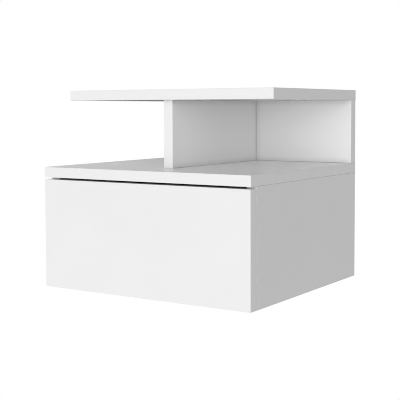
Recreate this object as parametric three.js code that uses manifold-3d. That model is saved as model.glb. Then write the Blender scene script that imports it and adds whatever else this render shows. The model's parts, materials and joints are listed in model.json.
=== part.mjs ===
// A wall-hung nightstand: a cabinet with one drawer, and a raised shelf on a divider and a half-width back.
// Millimetres, +Z up, +X right. The front faces -Y and the wall is the plane y = 0.
// The origin lies on the wall, midway between the two hangers, at the height where the wall screws bear.
// The pieces are worked out from the cabinet's underside, and the last group moves them to that origin.

import * as THREE from "three";
import { mergeVertices } from "three/addons/utils/BufferGeometryUtils.js";
import Module from "manifold-3d";

const wasm = await Module();
wasm.setup();

// Overall sizes
const width = 350;
const depth = 320; // from the wall to the face of the drawer
const height = 288;
const tableHeight = 176; // the cabinet's own top face
const shelfDepth = 261; // the raised shelf, from the wall

// Boards
const board = 15; // carcass, shelf and drawer front
const drawerBoard = 12; // sides and back of the drawer box
const drawerSheet = 3; // hardboard bottom of the drawer box
const seam = 0.2; // closed joint between two boards
const sideInset = 0.5; // side panels and fronts stand back from the ends of the top boards
const dividerSetback = 8; // behind the front edge of the raised shelf
const gripHeight = 18; // the cabinet's bottom is raised, so fingers reach behind the drawer front

// Drawer
const frontTopGap = 3;
const frontGap = 1; // behind the drawer front
const liftRoom = 23; // above the drawer box, to lift the drawer off its rollers
const drawerClearance = 10; // below the drawer box
const sheetHeight = 8; // bottom sheet above the lower edge of the drawer sides
const grooveDepth = 6;
const travelLoss = 60; // the drawer opens this much less than its runners' length

// Clearances and floors shared by all bores
const overrun = 1; // every cutter runs this far past the face that it opens
const fit = 0.15; // around a pin, bolt or screw
const blindFloor = 3; // wood left under a blind bore

// Cam fittings
const camRadius = 7.4;
const drawerCamRadius = 5.9;
const camDistance = 24; // from the board's end to the middle of the cam
const boltRadius = 3.4;
const drawerBoltRadius = 2.6;
const boltThreadShare = 0.75;
const boltNeckShare = 0.5;
const boltHeadShare = 0.9;
const boltHeadLength = 2.6;
const boltNeckLength = 3;
const crossDepth = 2;
const crossArmShare = 0.55;
const crossWidthShare = 0.14;
const jointInset = 45; // cams and screws from the end of the joint
const rearJointHeight = 60;
const drawerJointDrop = 30; // below the top edge of the drawer sides

// Dowels
const dowelRadius = 4;
const drawerDowelRadius = 3;
const dowelSpacing = 64; // from the cam to the dowel beside it

// Screws that join the divider and the half-width back to the cabinet's top
const joinerHeadRadius = 4.8;
const joinerHeadHeight = 4;
const joinerShankRadius = 3.2;
const joinerLength = 48;

// Screws of the drawer's back
const boxScrewHeadRadius = 3.8;
const boxScrewHeadHeight = 3;
const boxScrewShankRadius = 2.2;
const boxScrewLength = 38;
const boxScrewHeightShares = { low: 0.33, high: 0.67 }; // up the drawer's back
const screwPointShare = 0.4; // radius of a screw's tip, as a share of its shank
const screwSocketShare = 0.5; // across the corners of the hexagon socket, as a share of the head
const screwSocketDepth = 2.4;

// Hangers let into the rear panel
const hangerInset = 59.5; // from the inside of the side panel
const hangerDrop = 30; // the bearing point below the cabinet's top
const hangerWidth = 44;
const hangerAbove = 13; // plate above the bearing point
const hangerBelow = 29;
const hangerCorner = 4;
const hangerSteel = 2;
const hangerSlotRadius = 2.6;
const hangerEntryRadius = 5.5;
const hangerEntryDrop = 15; // entry hole below the bearing point
const hangerScrewRadius = 2.2;
const hangerScrewInset = 7;
const headRoomRadius = 7.5; // the hollow behind the plate for the wall screw's head
const headRoomDepth = 8;

// Drawer runners of folded steel
const runnerStep = 50; // runners are made in lengths of this step
const runnerRearRoom = 25; // least space behind the drawer box
const runnerSetback = 2; // cabinet member behind the front edge of the side panel
const runnerGap = 12.5; // between the side panel and the drawer side
const runnerSteel = 1.2;
const innerFoldShare = 2; // a fold's inner radius by the seam, so that it clears the drawer side's corner
const runnerClearance = 0.6; // between the two members
const trackHeadroom = 0.8; // above the drawer member's track
const runnerLip = 2.2; // keeps the wheel on the cabinet member
const runnerFlange = 11; // under the drawer side
const runnerDrop = 2; // lower edge of the drawer side below the wheel's path
const runnerMouth = 34; // the upper flange is open in front, where the drawer is put in
const runnerHoleRadius = 2.2;
const runnerHoleFirst = 35;
const runnerHoleLast = 20; // least distance from the last hole to the back end
const runnerHolePitch = 64;
const stopRadius = 2; // stop pip pressed up from the cabinet member

// Runner wheels
const wheelRadius = 8.5;
const wheelWidth = 5.5;
const wheelInset = 14; // from the end of its member
const wheelGap = 0.3; // running clearance over and under a wheel
const wheelChamfer = 0.5;
const wheelHub = 4.4;
const wheelRim = 6.9;
const wheelDish = 0.8; // the faces are dished between hub and rim
const axleRadius = 2.4;
const axleHeadRadius = 3.8;
const axleHead = 0.8;
const axlePlay = 0.2; // between the wheel and the axle's head

// Facets
const boreSides = 10;
const camSides = 16;
const wheelSides = 18;
const bendSteps = 2;
const arcSteps = 4;
const hexagon = 6;

// Places that several pieces share
const panelTop = tableHeight - board;
const outerHalf = width / 2 - sideInset;
const innerHalf = outerHalf - board;
const frontBack = -(depth - board); // back face of the drawer front
const carcassFront = frontBack + frontGap;
const shelfUnder = height - board;
const dividerFront = -(shelfDepth - dividerSetback);
const drawerOuter = innerHalf - runnerGap;
const drawerInner = drawerOuter - drawerBoard;
const drawerLow = gripHeight + board + drawerClearance;
const drawerHigh = panelTop - liftRoom;
const runnerSpace = -board - seam - carcassFront - runnerRearRoom;
const runnerLength = runnerStep * Math.floor(runnerSpace / runnerStep);
const runnerHoleCount = 1 + Math.floor((runnerLength - runnerHoleFirst - runnerHoleLast) / runnerHolePitch);
const travel = runnerLength - travelLoss; // from closed to the stop pips
const drawerStart = frontBack + seam;
const drawerEnd = drawerStart + runnerLength;
const sheetLow = drawerLow + sheetHeight;
const wheelPath = drawerLow + runnerDrop;
const hangLine = panelTop - hangerDrop;
const hangerAt = innerHalf - hangerInset;
const upperBackLeft = board / 2 + seam;
const upperBackMiddle = (upperBackLeft + outerHalf) / 2;
const runnerBend = innerFoldShare * seam + runnerSteel / 2; // at the middle of the sheet

const handOf = { left: -1, right: 1 };
const hands = Object.keys(handOf);
const up = new THREE.Vector3(0, 0, 1);
const toWall = new THREE.Vector3(0, 1, 0);

function point(x, y, z) {
  return new THREE.Vector3(x, y, z);
}

// Solids and meshes

function solidOf(geometry) {
  const bare = geometry.clone();
  bare.deleteAttribute("normal");
  bare.deleteAttribute("uv");
  const merged = mergeVertices(bare);
  return new wasm.Manifold(
    new wasm.Mesh({
      numProp: 3,
      vertProperties: merged.attributes.position.array,
      triVerts: new Uint32Array(merged.index.array),
    }),
  );
}

function geometryOf(solid) {
  const { vertProperties, triVerts } = solid.getMesh();
  const geometry = new THREE.BufferGeometry();
  geometry.setAttribute("position", new THREE.BufferAttribute(vertProperties, 3));
  geometry.setIndex(new THREE.BufferAttribute(triVerts, 1));
  geometry.computeVertexNormals();
  return geometry;
}

function piece(name, geometry, finish) {
  const mesh = new THREE.Mesh(geometry, new THREE.MeshStandardMaterial(finish));
  mesh.name = name;
  return mesh;
}

const melamine = { color: 0xf1f1f0, roughness: 0.55, metalness: 0 };
const hardboard = { color: 0xe9e8e4, roughness: 0.65, metalness: 0 };
const zinc = { color: 0xb9bbbd, roughness: 0.4, metalness: 0.9 };
const coatedSteel = { color: 0xeeeeec, roughness: 0.35, metalness: 0.1 };
const nylon = { color: 0xf4f3ee, roughness: 0.45, metalness: 0 };

// The turn that lays +Z along an axis. Bores and what goes in them share it, so their facets line up.
function turnTo(axis) {
  return new THREE.Quaternion().setFromUnitVectors(up, axis);
}

function block(low, high) {
  const size = high.clone().sub(low);
  const middle = low.clone().add(high).divideScalar(2);
  return solidOf(new THREE.BoxGeometry(size.x, size.y, size.z).translate(middle.x, middle.y, middle.z));
}

// A round bar along +Z, from zero
function rod(radius, length, sides) {
  const geometry = new THREE.CylinderGeometry(radius, radius, length, sides);
  return geometry.rotateX(Math.PI / 2).translate(0, 0, length / 2);
}

function bar(start, axis, radius, length, sides = boreSides) {
  const geometry = rod(radius, length, sides).applyQuaternion(turnTo(axis));
  return solidOf(geometry.translate(start.x, start.y, start.z));
}

// A cutter that opens at a point of a face and runs into the wood
function bore(mouth, axis, radius, length, sides = boreSides) {
  const start = mouth.clone().addScaledVector(axis, -overrun);
  return bar(start, axis, radius, length + overrun, sides);
}

// A body turned about +Z. The profile is a list of [radius, z], from low z to high.
function turned(profile, sides) {
  const points = profile.map(([radius, z]) => new THREE.Vector2(radius, z));
  return new THREE.LatheGeometry(points, sides).rotateX(Math.PI / 2);
}

// A flat outline in X and Z, from y = 0 back to -thickness
function plate(shape, thickness, steps = arcSteps) {
  const options = { depth: thickness, bevelEnabled: false, curveSegments: steps };
  return new THREE.ExtrudeGeometry(shape, options).rotateX(Math.PI / 2);
}

// Bores, grooves and dowels are listed by board first, and each board is cut when it is made

const cutsOf = {};
const dowelsOf = {};

function cutInto(name, tool) {
  cutsOf[name] = [...(cutsOf[name] ?? []), tool];
}

function makeBoard(name, low, high, finish = melamine) {
  const added = (dowelsOf[name] ?? []).reduce((whole, dowel) => whole.add(dowel), block(low, high));
  const solid = (cutsOf[name] ?? []).reduce((whole, tool) => whole.subtract(tool), added);
  const middle = low.clone().add(high).divideScalar(2);
  const geometry = geometryOf(solid).translate(-middle.x, -middle.y, -middle.z);
  const mesh = piece(name, geometry, finish);
  mesh.position.copy(middle);
  return mesh;
}

// Cam fittings

function camBolt(name, radius, threadLength) {
  const headMiddle = seam + camDistance;
  const headStart = headMiddle - boltHeadLength / 2;
  const thread = radius * boltThreadShare;
  const neck = radius * boltNeckShare;
  const head = radius * boltHeadShare;
  const profile = [
    [0, -threadLength],
    [neck, -threadLength],
    [thread, -threadLength + neck],
    [thread, seam],
    [radius, seam],
    [radius, headStart - boltNeckLength],
    [neck, headStart - boltNeckLength],
    [neck, headStart],
    [head, headStart],
    [head, headStart + boltHeadLength],
    [0, headStart + boltHeadLength],
  ];
  return piece(name, turned(profile, boreSides), zinc);
}

// The cam's own +Z runs into the wood and its +X points at the bolt
function cam(name, radius, bolt, thickness) {
  const arm = radius * crossArmShare;
  const half = radius * crossWidthShare;
  const hollowRadius = (bolt + fit) / Math.cos(Math.PI / boreSides); // its flats clear the bolt's corners
  const hollow = bar(point(-boltHeadLength, 0, thickness / 2), point(1, 0, 0), hollowRadius, radius * 2);
  const slotAcross = block(point(-arm, -half, -overrun), point(arm, half, crossDepth));
  const slotUp = block(point(-half, -arm, -overrun), point(half, arm, crossDepth));
  const body = solidOf(rod(radius, thickness - blindFloor - fit, camSides));
  const solid = body.subtract(hollow).subtract(slotAcross).subtract(slotUp);
  return piece(name, geometryOf(solid), zinc);
}

// One cam joint. The bolt is screwed into the face of one board at a point, and runs into the end of the
// other, where the cam lies in the face that looks along open.
function camJoint(group, label, joint) {
  const { bolted, boltedThickness, held, heldThickness, at, into, open, radius, bolt } = joint;
  const threadDepth = boltedThickness - blindFloor;
  const threadBore = bolt * boltThreadShare + fit;
  const middle = at.clone().addScaledVector(into, seam + camDistance);
  const mouth = middle.clone().addScaledVector(open, heldThickness / 2);
  const inward = open.clone().negate();
  cutInto(bolted, bore(at, into.clone().negate(), threadBore, threadDepth));
  cutInto(held, bore(at, into, bolt + fit, camDistance));
  cutInto(held, bore(mouth, inward, radius + fit, heldThickness - blindFloor, camSides));

  const boltMesh = camBolt(`cam_bolt_${label}`, bolt, threadDepth - fit);
  boltMesh.position.copy(at);
  boltMesh.quaternion.copy(turnTo(into));

  const camMesh = cam(`cam_${label}`, radius, bolt, heldThickness);
  const towardsBolt = into.clone().negate();
  const across = inward.clone().cross(towardsBolt);
  camMesh.position.copy(mouth);
  camMesh.quaternion.setFromRotationMatrix(new THREE.Matrix4().makeBasis(towardsBolt, across, inward));
  group.add(boltMesh, camMesh);
}

// A dowel glued into the end of one board, in a blind bore in the face of the other
function dowelJoint(glued, drilled, at, into, thickness, radius) {
  const boreDepth = thickness - blindFloor;
  const root = at.clone().addScaledVector(into, -(seam + blindFloor));
  const dowel = bar(root, into, radius, seam + blindFloor + boreDepth - fit);
  dowelsOf[glued] = [...(dowelsOf[glued] ?? []), dowel];
  cutInto(drilled, bore(at, into, radius + fit, boreDepth));
}

// A screw whose head lies flush in a face, driven through that board into the next
function screwJoint(group, name, boards, at, into, head, headHeight, shank, length) {
  const profile = [
    [0, 0],
    [head, 0],
    [head, headHeight],
    [shank, headHeight],
    [shank, length - shank],
    [shank * screwPointShare, length],
    [0, length],
  ];
  const socket = bore(point(0, 0, 0), up, head * screwSocketShare, screwSocketDepth, hexagon);
  const solid = solidOf(turned(profile, boreSides)).subtract(socket);
  for (const pierced of boards) {
    cutInto(pierced, bore(at, into, head + fit, headHeight + fit));
    cutInto(pierced, bore(at, into, shank + fit, length + fit));
  }
  const mesh = piece(name, geometryOf(solid), zinc);
  mesh.position.copy(at);
  mesh.quaternion.copy(turnTo(into));
  group.add(mesh);
}

// Joints of the carcass

function joinCarcass(group) {
  const carcass = { boltedThickness: board, heldThickness: board, radius: camRadius, bolt: boltRadius };
  const rows = { front: carcassFront + jointInset, back: -(board + jointInset) };
  const rowMiddle = (rows.front + rows.back) / 2;
  const bottomMiddle = gripHeight + board / 2;
  for (const hand of hands) {
    const side = handOf[hand];
    const inwards = point(-side, 0, 0);
    const down = point(0, 0, -1);
    const sideMiddle = side * (outerHalf - board / 2);
    const topPlace = { bolted: "cabinet_top", held: `side_panel_${hand}`, into: down, open: inwards };
    const bottomPlace = { bolted: `side_panel_${hand}`, held: "cabinet_bottom", into: inwards, open: down };
    for (const [row, y] of Object.entries(rows)) {
      const topAt = point(sideMiddle, y, panelTop);
      const bottomAt = point(side * innerHalf, y, bottomMiddle);
      camJoint(group, `top_${hand}_${row}`, { ...carcass, ...topPlace, at: topAt });
      camJoint(group, `bottom_${hand}_${row}`, { ...carcass, ...bottomPlace, at: bottomAt });
    }
    const topDowel = point(sideMiddle, rowMiddle, panelTop);
    const lowDowel = point(side * innerHalf, rowMiddle, bottomMiddle);
    dowelJoint(`side_panel_${hand}`, "cabinet_top", topDowel, up, board, dowelRadius);
    dowelJoint("cabinet_bottom", `side_panel_${hand}`, lowDowel, point(side, 0, 0), board, dowelRadius);
    const rearAt = point(side * innerHalf, -board / 2, rearJointHeight);
    const rearPlace = { bolted: `side_panel_${hand}`, held: "rear_panel", into: inwards, open: toWall };
    camJoint(group, `rear_${hand}`, { ...carcass, ...rearPlace, at: rearAt });
  }
}

function joinShelf(group) {
  const shelf = { bolted: "upper_shelf", boltedThickness: board, heldThickness: board };
  const size = { radius: camRadius, bolt: boltRadius, into: point(0, 0, -1) };
  const dividerAt = point(0, dividerFront / 2, shelfUnder);
  const backAt = point(upperBackMiddle, -board / 2, shelfUnder);
  const dividerPlace = { held: "divider", at: dividerAt, open: point(-1, 0, 0) };
  const backPlace = { held: "upper_back", at: backAt, open: toWall };
  camJoint(group, "shelf_divider", { ...shelf, ...size, ...dividerPlace });
  camJoint(group, "shelf_back", { ...shelf, ...size, ...backPlace });
  for (const side of Object.values(handOf)) {
    const dividerDowel = dividerAt.clone().add(point(0, side * dowelSpacing, 0));
    const backDowel = backAt.clone().add(point(side * dowelSpacing / 2, 0, 0));
    dowelJoint("divider", "upper_shelf", dividerDowel, up, board, dowelRadius);
    dowelJoint("upper_back", "upper_shelf", backDowel, up, board, dowelRadius);
  }
  const screw = [joinerHeadRadius, joinerHeadHeight, joinerShankRadius, joinerLength];
  const dividerRows = { front: dividerFront + jointInset, back: -(board + jointInset) };
  for (const [row, y] of Object.entries(dividerRows)) {
    const at = point(0, y, panelTop);
    screwJoint(group, `joiner_screw_divider_${row}`, ["cabinet_top", "divider"], at, up, ...screw);
  }
  for (const hand of hands) {
    const reach = (outerHalf - upperBackLeft) / 2 - jointInset;
    const at = point(upperBackMiddle + handOf[hand] * reach, -board / 2, panelTop);
    screwJoint(group, `joiner_screw_back_${hand}`, ["cabinet_top", "upper_back"], at, up, ...screw);
  }
}

// Joints of the drawer box

function joinDrawer(group) {
  const screw = [boxScrewHeadRadius, boxScrewHeadHeight, boxScrewShankRadius, boxScrewLength];
  for (const hand of hands) {
    const side = handOf[hand];
    const held = `drawer_side_${hand}`;
    const at = point(side * (drawerOuter - drawerBoard / 2), frontBack, drawerHigh - drawerJointDrop);
    const place = { bolted: "drawer_front", boltedThickness: board, held, heldThickness: drawerBoard };
    const size = { radius: drawerCamRadius, bolt: drawerBoltRadius };
    camJoint(group, `drawer_${hand}`, { ...place, ...size, at, into: toWall, open: point(side, 0, 0) });
    const dowelAt = at.clone().setZ((at.z + sheetLow) / 2);
    dowelJoint(held, "drawer_front", dowelAt, point(0, -1, 0), board, drawerDowelRadius);
    for (const [row, share] of Object.entries(boxScrewHeightShares)) {
      const z = drawerLow + share * (drawerHigh - drawerLow);
      const head = point(side * drawerOuter, drawerEnd - drawerBoard / 2, z);
      const name = `box_screw_${hand}_${row}`;
      screwJoint(group, name, [held, "drawer_back"], head, point(-side, 0, 0), ...screw);
    }
  }
}

// The bottom sheet of the drawer lies in grooves in all four boards round it
function cutSheetGrooves() {
  const low = sheetLow - fit;
  const high = sheetLow + drawerSheet + fit;
  const backFace = drawerEnd - drawerBoard;
  const reach = drawerInner + grooveDepth;
  const front = frontBack - grooveDepth;
  const groove = block(point(-reach, front, low), point(reach, backFace + grooveDepth, high));
  for (const name of ["drawer_front", "drawer_side_left", "drawer_side_right", "drawer_back"]) {
    cutInto(name, groove);
  }
}

// Hangers

function roundedOutline(half, bottom, top, corner) {
  const shape = new THREE.Shape();
  shape.absarc(half - corner, top - corner, corner, 0, Math.PI / 2);
  shape.absarc(-half + corner, top - corner, corner, Math.PI / 2, Math.PI);
  shape.absarc(-half + corner, bottom + corner, corner, Math.PI, 1.5 * Math.PI);
  shape.absarc(half - corner, bottom + corner, corner, 1.5 * Math.PI, 2 * Math.PI);
  return shape;
}

// The slot's round top is at the bearing point, and the entry hole hangs below it
function keyhole() {
  const start = Math.acos(hangerSlotRadius / hangerEntryRadius);
  const path = new THREE.Path();
  path.absarc(0, 0, hangerSlotRadius, 0, Math.PI);
  path.absarc(0, -hangerEntryDrop, hangerEntryRadius, Math.PI - start, 2 * Math.PI + start);
  path.closePath();
  return path;
}

function hanger(hand) {
  const shape = roundedOutline(hangerWidth / 2, -hangerBelow, hangerAbove, hangerCorner);
  shape.holes.push(keyhole());
  for (const side of Object.values(handOf)) {
    const hole = new THREE.Path();
    const x = side * (hangerWidth / 2 - hangerScrewInset);
    hole.absarc(x, -hangerEntryDrop / 2, hangerScrewRadius, 0, 2 * Math.PI);
    shape.holes.push(hole);
  }
  const mesh = piece(`hanger_${hand}`, plate(shape, hangerSteel), zinc);
  mesh.position.set(handOf[hand] * hangerAt, 0, hangLine);
  return mesh;
}

function cutHangerPocket(hand) {
  const grown = [hangerWidth / 2 + fit, -hangerBelow - fit, hangerAbove + fit, hangerCorner + fit];
  const pocket = plate(roundedOutline(...grown), overrun + hangerSteel + seam);
  const room = headRoomRadius;
  const hollow = roundedOutline(room, -hangerEntryDrop - room, room, room);
  const headRoom = plate(hollow, overrun + hangerSteel + headRoomDepth);
  for (const geometry of [pocket, headRoom]) {
    geometry.translate(handOf[hand] * hangerAt, overrun, hangLine);
    cutInto("rear_panel", solidOf(geometry));
  }
}

// Drawer runners. Their sections are drawn in u, the distance from the side panel towards the drawer, and in
// z from the wheel's path.

// Outline of a folded sheet: the middle line's square corners are rounded and offset by half the sheet
function foldedSheet(middleLine, thickness) {
  const line = middleLine.map(([u, z]) => new THREE.Vector2(u, z));
  const edges = { 1: [], [-1]: [] };
  line.forEach((corner, i) => {
    const inDirection = (i ? corner.clone().sub(line[i - 1]) : line[1].clone().sub(corner)).normalize();
    const last = i === line.length - 1;
    const outDirection = (last ? inDirection.clone() : line[i + 1].clone().sub(corner)).normalize();
    const turn = Math.sign(inDirection.cross(outDirection));
    const centre = corner.clone();
    if (turn) centre.addScaledVector(inDirection, -runnerBend).addScaledVector(outDirection, runnerBend);
    for (const side of [1, -1]) {
      const left = new THREE.Vector2(-inDirection.y, inDirection.x).multiplyScalar(side * thickness / 2);
      if (!turn) edges[side].push(corner.clone().add(left));
      else
        for (let step = 0; step <= bendSteps; step++) {
          const angle = (step / bendSteps) * Math.PI / 2;
          const radius = runnerBend - side * turn * thickness / 2;
          const round = centre.clone().addScaledVector(outDirection, -radius * Math.cos(angle));
          edges[side].push(round.addScaledVector(inDirection, radius * Math.sin(angle)));
        }
    }
  });
  return [...edges[1], ...edges[-1].reverse()];
}

// A member of the runner from its section, as a solid with its back end at y = 0
function member(section, side) {
  const outline = foldedSheet(section, runnerSteel).map((p) => new THREE.Vector2(-side * p.x, p.y));
  return solidOf(plate(new THREE.Shape(outline), runnerLength));
}

const webMiddle = seam + runnerSteel / 2;
const webFace = seam + runnerSteel;
const wallFace = runnerGap - seam - runnerSteel; // outer face of the drawer member's upright
const flangeEnd = wallFace - runnerClearance;
const lipFace = flangeEnd - runnerSteel;
const trackUnder = 2 * (wheelRadius + wheelGap);
const upperUnder = trackUnder + runnerSteel + trackHeadroom;
const axleHeight = wheelGap + wheelRadius;

// An axle with a flat head, riveted into a member: from u = start, with the wheel's far face at u = end
function axle(side, start, end, y) {
  const direction = Math.sign(end - start);
  const axis = point(-side * direction, 0, 0);
  const root = point(-side * (start - direction * runnerSteel / 2), y, axleHeight);
  const shank = Math.abs(end - start) + runnerSteel / 2 + axlePlay + axleHead / 2;
  const headAt = point(-side * (end + direction * axlePlay), y, axleHeight);
  return bar(root, axis, axleRadius, shank).add(bar(headAt, axis, axleHeadRadius, axleHead));
}

const frontWheelNear = webFace + runnerClearance;
const frontWheelFar = frontWheelNear + wheelWidth;
const rearWheelNear = lipFace - runnerClearance;
const rearWheelFar = rearWheelNear - wheelWidth;
const cabinetRunnerEnd = carcassFront + runnerSetback + runnerLength;
const frontWheelAt = carcassFront + runnerSetback + wheelInset;
const rearWheelAt = drawerEnd - wheelInset;

// The pip stands where the rear wheel meets it at full travel
const stopReach = Math.sqrt((wheelRadius + stopRadius) ** 2 - axleHeight ** 2);
const stopAt = rearWheelAt - travel - stopReach - wheelGap;

function stopPip(side) {
  const shape = new THREE.Shape();
  shape.absarc(0, 0, stopRadius, 0, Math.PI);
  shape.lineTo(-stopRadius, -runnerSteel / 2);
  shape.lineTo(stopRadius, -runnerSteel / 2);
  const length = rearWheelNear - webMiddle;
  const options = { depth: length, bevelEnabled: false, curveSegments: arcSteps };
  const geometry = new THREE.ExtrudeGeometry(shape, options);
  geometry.rotateX(Math.PI / 2).rotateZ(Math.PI / 2);
  const start = side > 0 ? -rearWheelNear : webMiddle;
  return solidOf(geometry.translate(start, stopAt - cabinetRunnerEnd, 0));
}

function cabinetRunner(hand) {
  const side = handOf[hand];
  const section = [
    [lipFace + runnerSteel / 2, runnerLip],
    [lipFace + runnerSteel / 2, -runnerSteel / 2],
    [webMiddle, -runnerSteel / 2],
    [webMiddle, upperUnder + runnerSteel / 2],
    [flangeEnd, upperUnder + runnerSteel / 2],
  ];
  const mouthLow = point(-side * (webMiddle + runnerBend), -runnerLength - overrun, trackUnder);
  const mouthHigh = point(-side * runnerGap, -runnerLength + runnerMouth, upperUnder + runnerSteel + overrun);
  const mouth = block(mouthLow.clone().min(mouthHigh), mouthLow.clone().max(mouthHigh));
  let solid = member(section, side).subtract(mouth);
  for (let hole = 0; hole < runnerHoleCount; hole++) {
    const y = -runnerLength + runnerHoleFirst + hole * runnerHolePitch;
    const start = point(0, y, axleHeight);
    solid = solid.subtract(bore(start, point(-side, 0, 0), runnerHoleRadius, webFace + overrun));
  }
  const wheelY = frontWheelAt - cabinetRunnerEnd;
  solid = solid.add(axle(side, webFace, frontWheelFar, wheelY)).add(stopPip(side));
  const mesh = piece(`runner_cabinet_${hand}`, geometryOf(solid), coatedSteel);
  mesh.position.set(side * innerHalf, cabinetRunnerEnd, wheelPath);
  return mesh;
}

function drawerRunner(hand) {
  const side = handOf[hand];
  const uprightMiddle = wallFace + runnerSteel / 2;
  const flangeMiddle = -runnerDrop - seam - runnerSteel / 2;
  const section = [
    [webFace + trackHeadroom, trackUnder + runnerSteel / 2],
    [uprightMiddle, trackUnder + runnerSteel / 2],
    [uprightMiddle, flangeMiddle],
    [runnerGap + runnerFlange, flangeMiddle],
  ];
  let solid = member(section, side);
  for (let hole = 0; hole < runnerHoleCount; hole++) {
    const y = -runnerLength + runnerHoleFirst + hole * runnerHolePitch;
    const start = point(-side * (runnerGap + runnerFlange / 2), y, flangeMiddle - runnerSteel);
    solid = solid.subtract(bore(start, up, runnerHoleRadius, 2 * runnerSteel));
  }
  solid = solid.add(axle(side, wallFace, rearWheelFar, -wheelInset));
  const mesh = piece(`runner_drawer_${hand}`, geometryOf(solid), coatedSteel);
  mesh.position.set(side * innerHalf, drawerEnd, wheelPath);
  return mesh;
}

// A nylon wheel about +Z, dished on both faces
function wheel(name, side, middle, y) {
  const half = wheelWidth / 2;
  const inner = axleRadius + fit;
  const profile = [
    [inner, -half],
    [wheelHub, -half],
    [wheelHub, wheelDish - half],
    [wheelRim, wheelDish - half],
    [wheelRim, -half],
    [wheelRadius - wheelChamfer, -half],
    [wheelRadius, wheelChamfer - half],
    [wheelRadius, half - wheelChamfer],
    [wheelRadius - wheelChamfer, half],
    [wheelRim, half],
    [wheelRim, half - wheelDish],
    [wheelHub, half - wheelDish],
    [wheelHub, half],
    [inner, half],
    [inner, -half],
  ];
  const mesh = piece(name, turned(profile, wheelSides), nylon);
  mesh.position.set(side * (innerHalf - middle), y, wheelPath + axleHeight);
  mesh.quaternion.copy(turnTo(point(1, 0, 0)));
  return mesh;
}

// The boards, each between its low and high corner

function cabinetBoards() {
  const between = innerHalf - seam;
  const sideTop = panelTop - seam;
  const panels = [
    makeBoard("cabinet_top", point(-width / 2, -depth, panelTop), point(width / 2, 0, tableHeight)),
    makeBoard(
      "cabinet_bottom",
      point(-between, carcassFront, gripHeight),
      point(between, -board - seam, gripHeight + board),
    ),
    makeBoard("rear_panel", point(-between, -board, 0), point(between, 0, sideTop)),
    makeBoard("upper_shelf", point(-width / 2, -shelfDepth, shelfUnder), point(width / 2, 0, height)),
    makeBoard(
      "divider",
      point(-board / 2, dividerFront, tableHeight + seam),
      point(board / 2, 0, shelfUnder - seam),
    ),
    makeBoard(
      "upper_back",
      point(upperBackLeft, -board, tableHeight + seam),
      point(outerHalf, 0, shelfUnder - seam),
    ),
  ];
  for (const hand of hands) {
    const ends = [handOf[hand] * innerHalf, handOf[hand] * outerHalf].sort((a, b) => a - b);
    panels.push(makeBoard(`side_panel_${hand}`, point(ends[0], carcassFront, 0), point(ends[1], 0, sideTop)));
  }
  return panels;
}

function drawerBoards() {
  const between = drawerInner - seam;
  const sheetHalf = drawerInner + grooveDepth - fit;
  const backFace = drawerEnd - drawerBoard;
  const frontTop = panelTop - frontTopGap;
  const panels = [
    makeBoard("drawer_front", point(-outerHalf, -depth, 0), point(outerHalf, frontBack, frontTop)),
    makeBoard("drawer_back", point(-between, backFace, drawerLow), point(between, drawerEnd, drawerHigh)),
    makeBoard(
      "drawer_bottom",
      point(-sheetHalf, frontBack - grooveDepth + fit, sheetLow),
      point(sheetHalf, backFace + grooveDepth - fit, sheetLow + drawerSheet),
      hardboard,
    ),
  ];
  for (const hand of hands) {
    const ends = [handOf[hand] * drawerInner, handOf[hand] * drawerOuter].sort((a, b) => a - b);
    const low = point(ends[0], drawerStart, drawerLow);
    const high = point(ends[1], drawerEnd, drawerHigh);
    panels.push(makeBoard(`drawer_side_${hand}`, low, high));
  }
  return panels;
}

// Assembly

const cabinet = new THREE.Group();
const drawer = new THREE.Group();
joinCarcass(cabinet);
joinShelf(cabinet);
joinDrawer(drawer);
cutSheetGrooves();
for (const hand of hands) {
  const side = handOf[hand];
  cutHangerPocket(hand);
  cabinet.add(hanger(hand), cabinetRunner(hand));
  cabinet.add(wheel(`wheel_front_${hand}`, side, (frontWheelNear + frontWheelFar) / 2, frontWheelAt));
  drawer.add(drawerRunner(hand));
  drawer.add(wheel(`wheel_rear_${hand}`, side, (rearWheelNear + rearWheelFar) / 2, rearWheelAt));
}
cabinet.add(...cabinetBoards());
drawer.add(...drawerBoards());

const nightstand = new THREE.Group();
const onWall = new THREE.Group();
onWall.position.z = -hangLine;
onWall.add(cabinet, drawer);
nightstand.add(onWall);

export default nightstand;
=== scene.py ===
# A wall-hung nightstand in its studio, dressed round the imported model.
# Metres, +Z up, +X right. The front faces -Y and the wall is the plane y = 0.

import json
import math

import bmesh
import bpy
from mathutils import Matrix, Vector

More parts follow.
